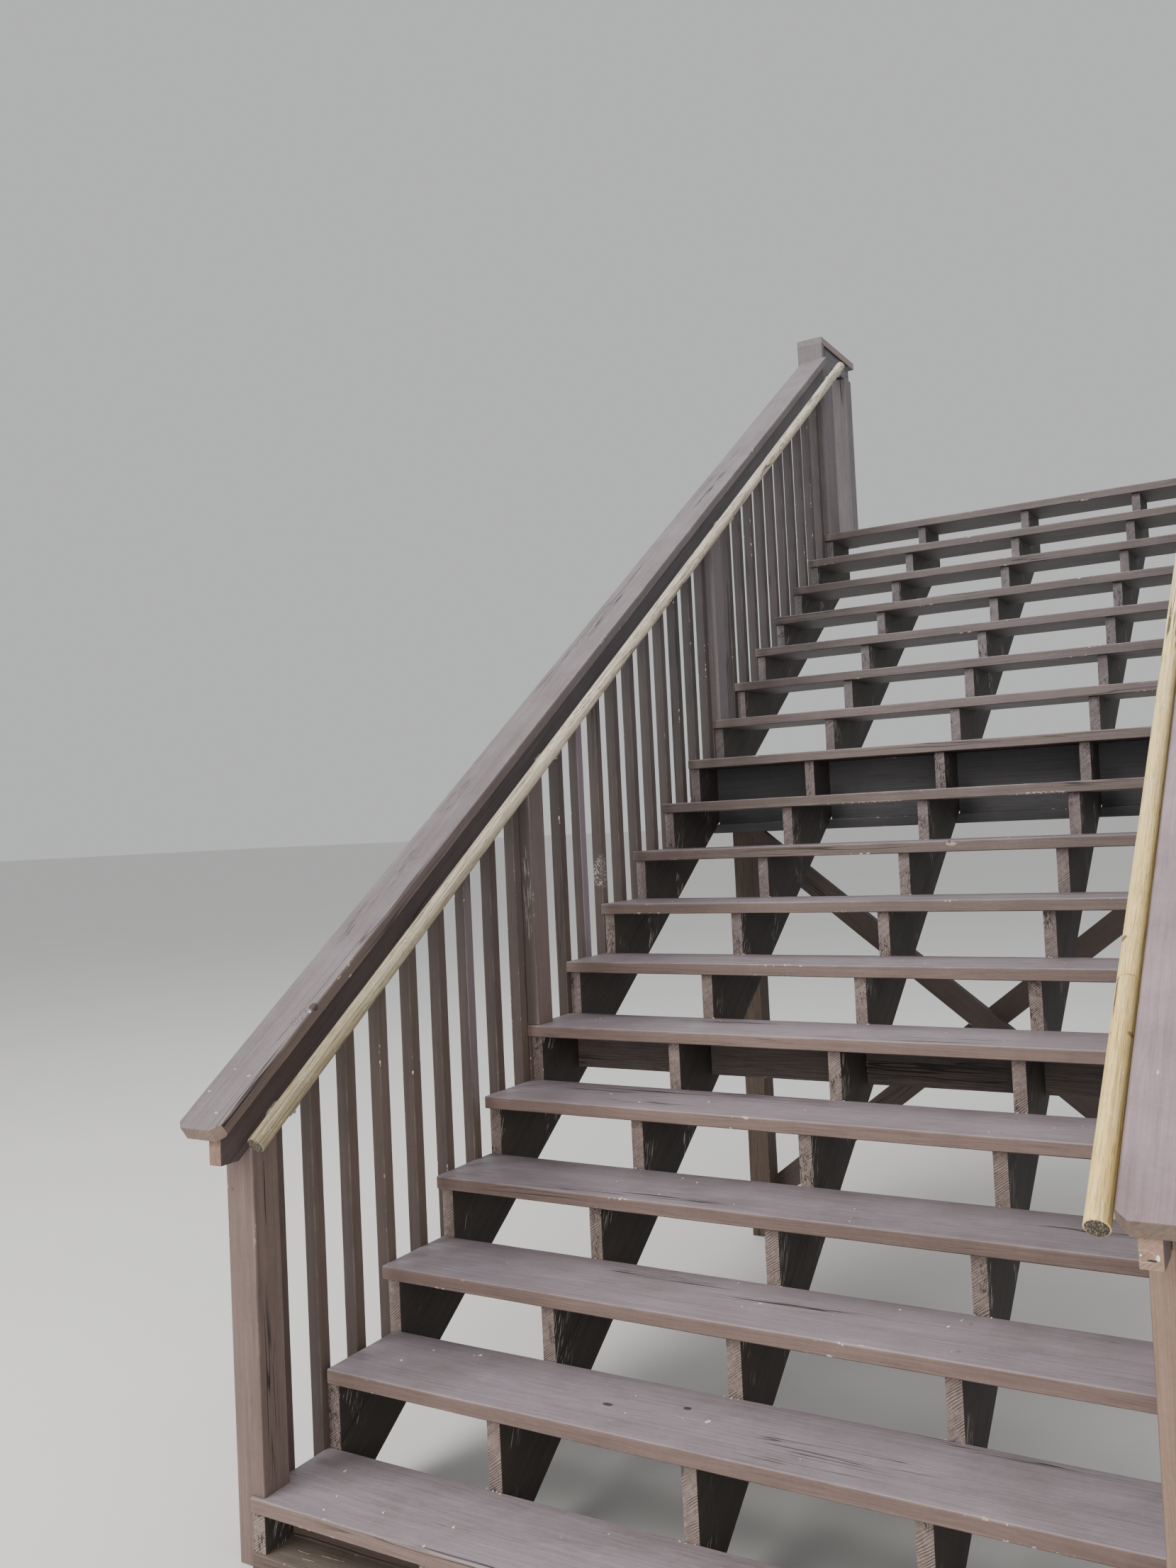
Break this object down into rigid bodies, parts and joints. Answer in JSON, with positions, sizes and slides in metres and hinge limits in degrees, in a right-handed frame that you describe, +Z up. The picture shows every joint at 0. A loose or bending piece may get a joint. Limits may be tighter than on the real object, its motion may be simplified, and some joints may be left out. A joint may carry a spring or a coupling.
{
  "type": "wooden deck stairs",
  "caption": "Wide straight flight of outdoor wooden stairs with open plank treads on notched stringers, raked picket guards, flat caps and round handrails on both sides.",
  "frame": {"origin": "centre of the ground sill's underside, below the lowest tread", "axes": "+X to the right along the treads, +Y up the flight towards the deck, +Z up"},
  "size_m": [2.286, 5.0597, 4.342],
  "materials": {
    "painted_tread": "worn semi-gloss paint",
    "painted_frame": "worn semi-gloss paint",
    "painted_guard": "worn semi-gloss paint",
    "weathered_wood": "bare and weathered",
    "handrail_wood": "bare and weathered",
    "zinc_metal": "zinc plated"
  },
  "bodies": {
    "root": {"bent_braces": "weathered_wood", "bent_plate": "weathered_wood", "bent_posts": "weathered_wood", "ground_sill": "weathered_wood", "kicker_boards": "weathered_wood", "left_balusters": "painted_guard", "left_bottom_newel": "painted_guard", "left_cap_rail": "painted_guard", "left_handrail": "handrail_wood", "left_handrail_brackets": "zinc_metal", "left_middle_newels": "painted_guard", "left_subrail": "painted_guard", "left_top_newels": "painted_guard", "lower_blocking": "weathered_wood", "right_balusters": "painted_guard", "right_bottom_newel": "painted_guard", "right_cap_rail": "painted_guard", "right_handrail": "handrail_wood", "right_handrail_brackets": "zinc_metal", "right_middle_newels": "painted_guard", "right_subrail": "painted_guard", "right_top_newels": "painted_guard", "stringer_1": "painted_frame", "stringer_2": "painted_frame", "stringer_3": "painted_frame", "stringer_4": "painted_frame", "stringer_5": "painted_frame", "tread_01": "painted_tread", "tread_02": "painted_tread", "tread_03": "painted_tread", "tread_04": "painted_tread", "tread_05": "painted_tread", "tread_06": "painted_tread", "tread_07": "painted_tread", "tread_08": "painted_tread", "tread_09": "painted_tread", "tread_10": "painted_tread", "tread_11": "painted_tread", "tread_12": "painted_tread", "tread_13": "painted_tread", "tread_14": "painted_tread", "tread_15": "painted_tread", "tread_16": "painted_tread", "tread_17": "painted_tread", "tread_18": "painted_tread", "upper_blocking": "weathered_wood"}
  },
  "joints": []
}
